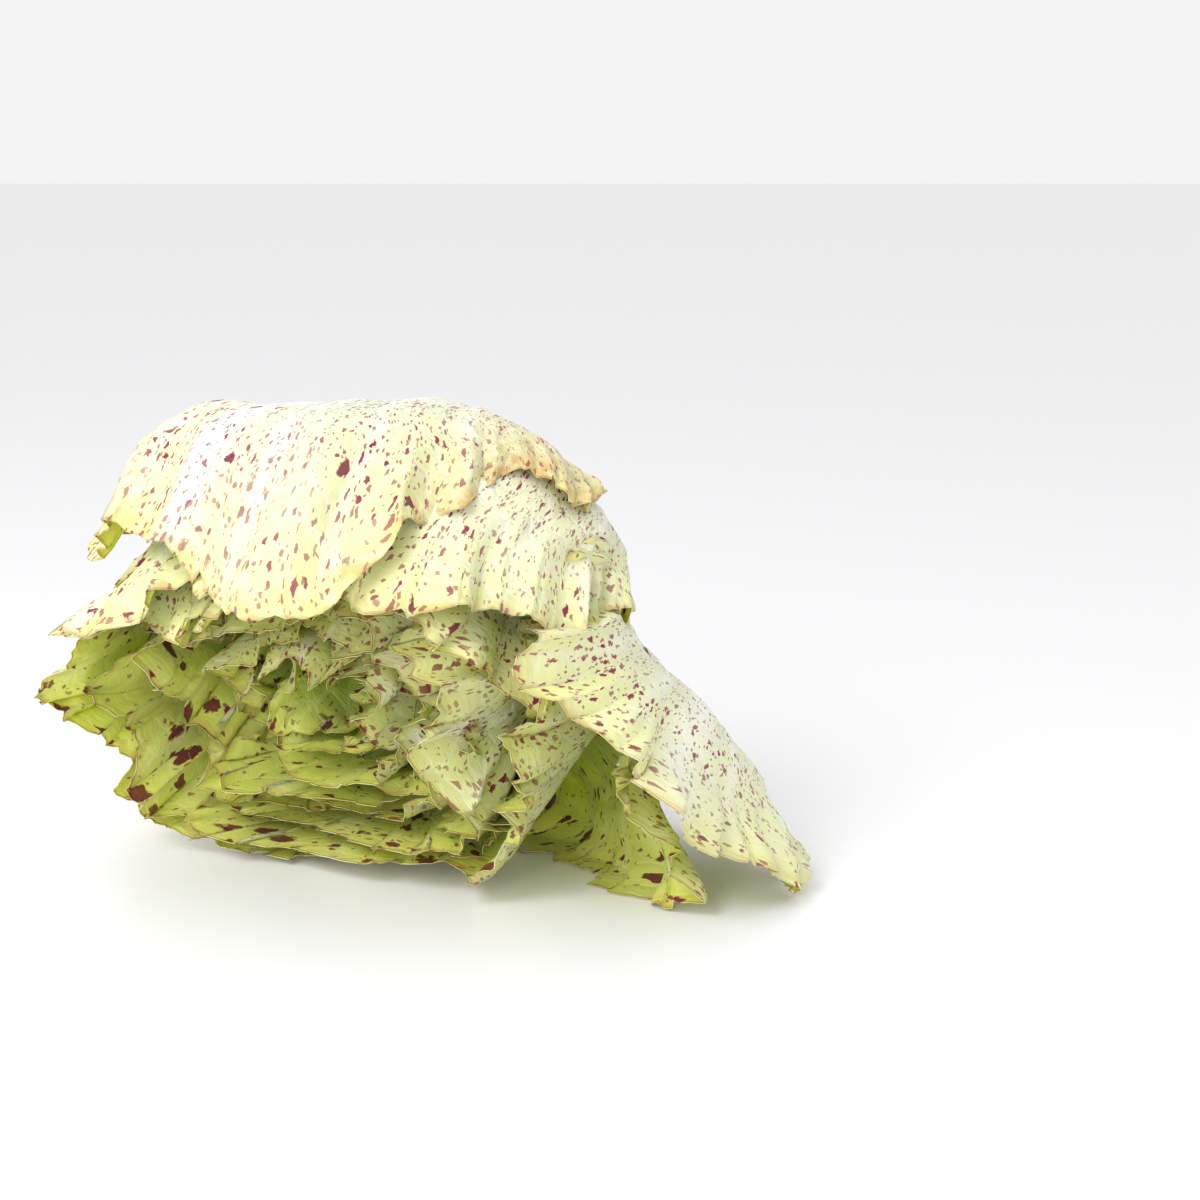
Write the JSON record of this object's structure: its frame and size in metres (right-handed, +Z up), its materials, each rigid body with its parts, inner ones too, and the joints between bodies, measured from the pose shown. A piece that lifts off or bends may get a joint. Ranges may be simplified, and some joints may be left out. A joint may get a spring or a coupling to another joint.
{
  "type": "radicchio head",
  "caption": "Loose speckled radicchio head lying on its side, its ruffled leaves open towards the front, with one outer leaf trailing to the right.",
  "frame": {"origin": "centre of the bounding box in X and Y, at the height of the surface the head lies on", "axes": "+Z up from the resting surface; +X to the side the loose leaf trails to, along the longest extent; the open front faces -Y and -X, the core's cut end points to +Y"},
  "size_m": [0.2718, 0.199, 0.1721],
  "materials": {
    "core": "cut pale core, damp and slightly fibrous",
    "leaf_heart": "thin green leaf tissue, satin",
    "leaf_middle": "thin yellow-green leaf tissue with wine-red flecks, satin",
    "leaf_outer": "cream and pale green leaf tissue with wine-red flecks, soft satin"
  },
  "bodies": {
    "root": {"core": "core", "leaf_01": "leaf_heart", "leaf_02": "leaf_heart", "leaf_03": "leaf_heart", "leaf_04": "leaf_heart", "leaf_05": "leaf_heart", "leaf_06": "leaf_heart", "leaf_07": "leaf_heart", "leaf_08": "leaf_heart", "leaf_09": "leaf_middle", "leaf_10": "leaf_middle", "leaf_11": "leaf_middle", "leaf_12": "leaf_middle", "leaf_13": "leaf_middle", "leaf_14": "leaf_middle", "leaf_15": "leaf_middle", "leaf_16": "leaf_middle", "leaf_17": "leaf_middle", "leaf_18": "leaf_middle", "leaf_19": "leaf_middle", "leaf_20": "leaf_middle", "leaf_21": "leaf_middle", "leaf_22": "leaf_middle", "leaf_left_fold": "leaf_outer", "leaf_right_wall": "leaf_outer", "leaf_brow": "leaf_outer", "leaf_cradle": "leaf_outer", "leaf_left_wall": "leaf_outer", "leaf_dome": "leaf_outer", "leaf_rug": "leaf_outer", "leaf_apron": "leaf_outer", "leaf_canopy": "leaf_outer", "leaf_trail": "leaf_outer"}
  },
  "joints": []
}
